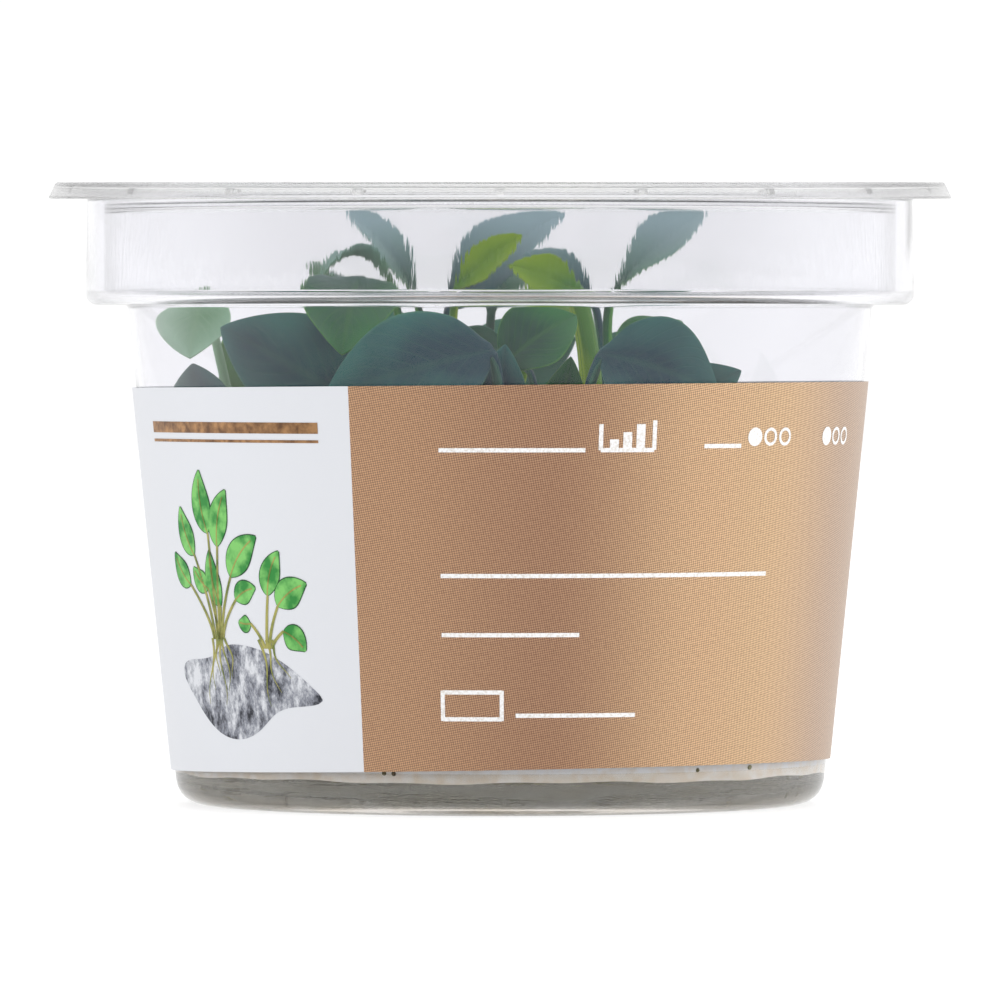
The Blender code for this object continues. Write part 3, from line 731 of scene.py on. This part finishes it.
def leaf_grid(foot, joint, tip, width, facing, arch, stalk_r, fullest, phase):
    """Stalk: a Hermite curve from foot to joint that leaves upwards. Blade: the chord from joint to tip,
    bulged by arch * 4t(1 - t). Section: half width * cos a across, thickness * sin a through, plus a cup
    of across^2, a sunk midrib exp(-(across / 0.1)^2) and a slow ruffle along the margin."""
    chord = unit(tip - joint)
    normal = unit(facing - chord * (facing @ chord))
    side = np.cross(chord, normal)
    reach = np.linalg.norm(joint - foot)
    start = np.array([0, 0, reach])
    end = unit(chord + [0, 0, 1.2] + unit(joint - foot)) * reach * 0.7
    s = np.linspace(0, 0.985, 26)[:, None]
    stalk = foot * (2 * s**3 - 3 * s**2 + 1) + start * (s**3 - 2 * s**2 + s)
    stalk = stalk + joint * (-2 * s**3 + 3 * s**2) + end * (s**3 - s**2)
    near_tip = 0.9 + 0.1 * np.sin(np.linspace(0.1, math.pi / 2, 14))
    t = np.concatenate([np.linspace(0.012, 0.9, 40), near_tip])[:, None]
    length = np.linalg.norm(tip - joint)
    blade = joint + chord * length * t + normal * arch * 4 * t * (1 - t)
    spine = np.concatenate([stalk, blade])
    way = unit(np.gradient(spine, axis=0))
    flat = unit(side - way * (way @ side)[:, None])
    up = np.cross(flat, way)
    round_r = stalk_r * (1.15 - 0.3 * s)
    opened = half_width(t, width, fullest)
    half = np.concatenate([round_r, np.sqrt(opened**2 + (0.85 * stalk_r * (1 - t) ** 6) ** 2)])
    thick = np.concatenate([round_r * 0.87, 0.17 + (0.7 * stalk_r - 0.17) * (1 - t) ** 10])
    thick[-1], half[-1] = 0.01, 0.01
    broad = np.concatenate([0 * s, np.clip(t * 6, 0, 1)])
    along = np.concatenate([0 * s, t])
    angle = np.linspace(0, math.tau, 36, endpoint=False)
    across = np.cos(angle)[None]
    through = np.sin(angle)[None]
    section = thick * np.sign(through) * np.abs(through) ** (1 - 0.45 * broad)
    rib = -0.22 * np.exp(-((across / 0.1) ** 2)) * broad * np.sqrt(np.clip(1 - along, 0, 1))
    cup = broad * half * 0.2 * across**2
    ruffle = broad * 0.07 * half * across**2 * np.sin(along * 9 + phase + 1.7 * across)
    lift = section + rib + cup + ruffle
    grid = spine[:, None] + flat[:, None] * (half * across)[..., None] + up[:, None] * lift[..., None]
    u = across * 0.5 + 0.5 + 0 * along
    back = (through < -0.01) * 1.0
    uv = np.stack([u + 2 * back, along + 0 * u], -1)
    return grid, np.concatenate([uv, uv[:, :1]], 1)


VEINS = 9  # pairs of side veins on a blade


def leaf_skin(name, face, shade, rim, painted_lid_glow=0.0):
    """A waxy blade. Its tone is cloud noise + 0.35 along + 0.5 away from the midrib - 0.32: the cloud
    is its own patchy colour, the rise along the blade and out from the midrib is painted shade, darker
    at the base and midrib and lighter to the tip and margin. Paler veins fan from the midrib as waves
    of (along - 0.9 away), with a lighter margin and a paler underside. Painted lid glow is how far
    the tops near the lid pale towards blue-grey, painted light from the lid, between heights of
    59 and 66.5 mm."""
    made, tree, shader = finish(name, {"IOR": 1.45, "Specular IOR Level": 0.5})
    pattern = parted(tree, add_node(tree, "UVMap", {"uv_map": "pattern"}).outputs["UV"])
    along = pattern["Y"]
    under = maths(tree, "GREATER_THAN", pattern["X"], 1.5)
    over = maths(tree, "SUBTRACT", pattern["X"], maths(tree, "MULTIPLY", under, 2.0))
    away = maths(tree, "ABSOLUTE", maths(tree, "SUBTRACT", over, 0.5))
    fan = maths(tree, "MULTIPLY_ADD", away, -0.9, along)
    ridge = maths(tree, "COSINE", maths(tree, "MULTIPLY", fan, math.tau * VEINS))
    midrib = remap(tree, away, 0.05, 0.015)
    veins = maths(tree, "MAXIMUM", remap(tree, ridge, 0.8, 1.0), midrib)
    place = add_node(tree, "TexCoord").outputs["Object"]
    cloud = add_node(tree, "TexNoise", {"Scale": 110, "Detail": 1.0}, {"Vector": place}).outputs["Fac"]
    # Painted shade: darker at the base and midrib, lighter towards the tip and margin, over the blade's own
    # cloudy tone.
    cloud_and_painted_shade = maths(tree, "MULTIPLY_ADD", along, 0.35, cloud)
    tone = maths(tree, "ADD", cloud_and_painted_shade, maths(tree, "MULTIPLY_ADD", away, 0.5, -0.32))
    colour = ramp(tree, tone, [(0.3, shade), (0.7, face)])
    colour = blend(tree, maths(tree, "MULTIPLY", veins, 0.12), colour, rim)
    colour = blend(tree, remap(tree, away, 0.47, 0.5, 0.0, 0.5), colour, rim)
    colour = blend(tree, maths(tree, "MULTIPLY", under, 0.45), colour, rim)
    # Painted light from the lid: blade tops between 59 and 66.5 mm high pale towards blue-grey.
    top = remap(tree, parted(tree, place)["Z"], 0.059, 0.0665, 0.0, painted_lid_glow)
    tree.links.new(blend(tree, top, colour, "b4cfd9"), shader.inputs["Base Color"])
    tree.links.new(remap(tree, cloud, 0.0, 1.0, 0.3, 0.55), shader.inputs["Roughness"])
    relief = maths(tree, "MULTIPLY_ADD", veins, -0.35, cloud)
    bump = add_node(tree, "Bump", {"Strength": 0.2, "Distance": 0.0002}, {"Height": relief})
    tree.links.new(bump.outputs["Normal"], shader.inputs["Normal"])
    return made


skins = {
    "old": leaf_skin("leaf_skin_old", "35766f", "14404e", "5a9470", 0.9),
    "grown": leaf_skin("leaf_skin_grown", "27723a", "0d4836", "6cae44", 0.85),
    "young": leaf_skin("leaf_skin_young", "8db024", "467f28", "b8d246"),
    "pale": leaf_skin("leaf_skin_pale", "98c4a4", "3f8044", "b4d8b0"),
}
for index, (name, row) in enumerate(LEAVES.items()):
    stem, along_stem, joint, tip, width, facing, arch, stalk_r, age = row
    middle, heading, _ = RHIZOMES[f"rhizome_{stem}"]
    turn = math.radians(heading)
    foot = np.array(middle) + np.array([math.cos(turn), math.sin(turn), 0]) * along_stem
    foot = foot + [0, 0, RHIZOME_R * 0.8]
    fullest = BLUNT.get(name, POINTED)
    joint, tip, facing = np.array(joint), np.array(tip), np.array(facing)
    grid, uv = leaf_grid(foot, joint, tip, width, facing, arch, stalk_r, fullest, index * 1.3)
    surface(name + "_finish", [grid], skins[age], [name], uvs=[uv], caps=True)

# ---------------------------------------------------------------- roots
# Fine roots that run from the underside of each rhizome into the gel, pale where young
# and brown where they reach the wall.

root_skin, tree, shader = finish("root_skin", {"Roughness": 0.55, "IOR": 1.4})
mottled(tree, shader, 90, 3.0, [(0.4, "4d3a22"), (0.62, "a9a673")])

ROOTS_EACH = 7
# Where the longest roots meet the front wall, just above the gel.
WALL_ROOTS = {
    "rhizome_2": [(-13.0, -34.76, 4.8), (-11.9, -35.15, 4.75)],
    "rhizome_3": [(22.3, -29.65, 4.95)],
    "rhizome_4": [(27.9, -24.45, 5.05)],
}
ROOT_R = 0.36
MAT_Z = 4.0  # height at which the roots level out, just under the gel's top
MAT_R = 31.0  # the roots stop short of the wall at this radius
draw_of = np.random.default_rng(7)
for name, (middle, heading, length) in RHIZOMES.items():
    strands = []
    low = middle[2] - 1.2
    for _ in range(ROOTS_EACH):
        turn = math.radians(heading)
        way = np.array([math.cos(turn), math.sin(turn), 0])
        start = np.array(middle) + way * draw_of.uniform(-0.4, 0.4) * length
        way = draw_of.uniform(0, math.tau)
        reach = draw_of.uniform(5, 12)
        share = np.linspace(0, 1, 22)[:, None]
        wander = draw_of.uniform(-1, 1, (2, 3)) * [1.2, 1.2, 0.25]
        path = start + share * np.array([math.cos(way), math.sin(way), 0]) * reach
        path = path + np.sin(share * 7) * wander[:1] + np.sin(share * 15) * wander[1:] * 0.4
        share = share[:, 0]
        path[:, 2] = low + (MAT_Z - low) * np.sin(share * math.pi / 2) + 0.2 * np.sin(share * 11)
        spread = np.hypot(path[:, 0], path[:, 1])
        path[:, :2] *= (np.minimum(spread, MAT_R) / np.maximum(spread, 1e-6))[:, None]
        radii = ROOT_R * (1 - 0.65 * share)
        radii[[0, -1]] = 0.005
        strands.append(tube(path, radii, 8))
    for reached in WALL_ROOTS.get(name, ()):
        share = np.linspace(0, 1, 30)
        path = np.array(middle) + share[:, None] * (np.array(reached) - middle)
        path[:, 2] = low - share * (low - reached[2]) + 0.5 * np.sin(share * math.pi)
        radii = 0.3 + 0.12 * share
        radii[[0, -1]] = 0.005
        strands.append(tube(path, radii, 8))
    surface(name.replace("rhizome", "roots"), strands, root_skin)

# ---------------------------------------------------------------- table, light and camera
# A wide pale table under soft white light from all round, dimmer in front and to the left.
# Four softboxes light the plants and the label. They stay out of the plastic's reflections.

TABLE_HALF = 4.0  # metres
floor_finish, tree, shader = finish("pale_table", {"Roughness": 0.6})
mottled(tree, shader, 40, 2.0, [(0.0, "a8a8a8"), (1.0, "b4b4b4")])
shader.inputs["Emission Color"].default_value = linear("ffffff")
shader.inputs["Emission Strength"].default_value = 0.7
table_mesh = bpy.data.meshes.new("table")
corners = [(x * TABLE_HALF, y * TABLE_HALF, 0) for x, y in ((-1, -1), (1, -1), (1, 1), (-1, 1))]
table_mesh.from_pydata(corners, [], [(0, 1, 2, 3)])
table = bpy.data.objects.new("table", table_mesh)
bpy.context.scene.collection.objects.link(table)
table.data.materials.append(floor_finish)
table.visible_glossy = False

world = bpy.data.worlds.new("studio")
bpy.context.scene.world = world
world.use_nodes = True
sky = world.node_tree
toward = parted(sky, add_node(sky, "TexCoord").outputs["Generated"])
depth = remap(sky, toward["Y"], -0.7, 0.35, 0.3, 1.04, "SMOOTHSTEP")
aside = remap(sky, toward["X"], -0.8, -0.1, 0.78, 1.0, "SMOOTHSTEP")
sky.nodes["Background"].inputs["Color"].default_value = linear("ffffff")
sky.links.new(maths(sky, "MULTIPLY", depth, aside), sky.nodes["Background"].inputs["Strength"])


def softbox(name, place, aim, size, power):
    """A square area light at place, turned to face aim."""
    lamp = bpy.data.lights.new(name, "AREA")
    lamp.shape = "SQUARE"
    lamp.size = size
    lamp.energy = power
    made = bpy.data.objects.new(name, lamp)
    made.visible_glossy = False
    made.visible_transmission = False
    bpy.context.scene.collection.objects.link(made)
    made.location = place
    made.rotation_euler = (Vector(aim) - Vector(place)).to_track_quat("-Z", "Y").to_euler()


softbox("overhead_softbox", (0, -0.1, 1.0), (0, 0, 0.03), 0.8, 1.5)
softbox("front_softbox", (0.1, -1.0, 0.45), (0, 0, 0.03), 0.8, 2.2)
softbox("right_softbox", (0.85, -0.35, 0.25), (0, 0, 0.03), 0.6, 3.4)
softbox("left_softbox", (-0.85, -0.45, 0.3), (0, 0, 0.03), 0.6, 2.6)

lens = bpy.data.cameras.new("camera")
lens.lens = 378
lens.sensor_width = 36
lens.clip_start = 0.01
lens.clip_end = 50
camera = bpy.data.objects.new("camera", lens)
bpy.context.scene.collection.objects.link(camera)
camera.location = (0, -1.2075, 0.0532)
aim = Vector((0, 0, 0.03485))
camera.rotation_euler = (aim - camera.location).to_track_quat("-Z", "Y").to_euler()
bpy.context.scene.camera = camera

# Light crosses up to four clear walls and comes back, so paths are long.
bpy.context.scene.view_settings.view_transform = "Standard"
paths = bpy.context.scene.cycles
paths.max_bounces = 32
paths.transmission_bounces = 32
paths.transparent_max_bounces = 32
paths.diffuse_bounces = 6
paths.glossy_bounces = 12
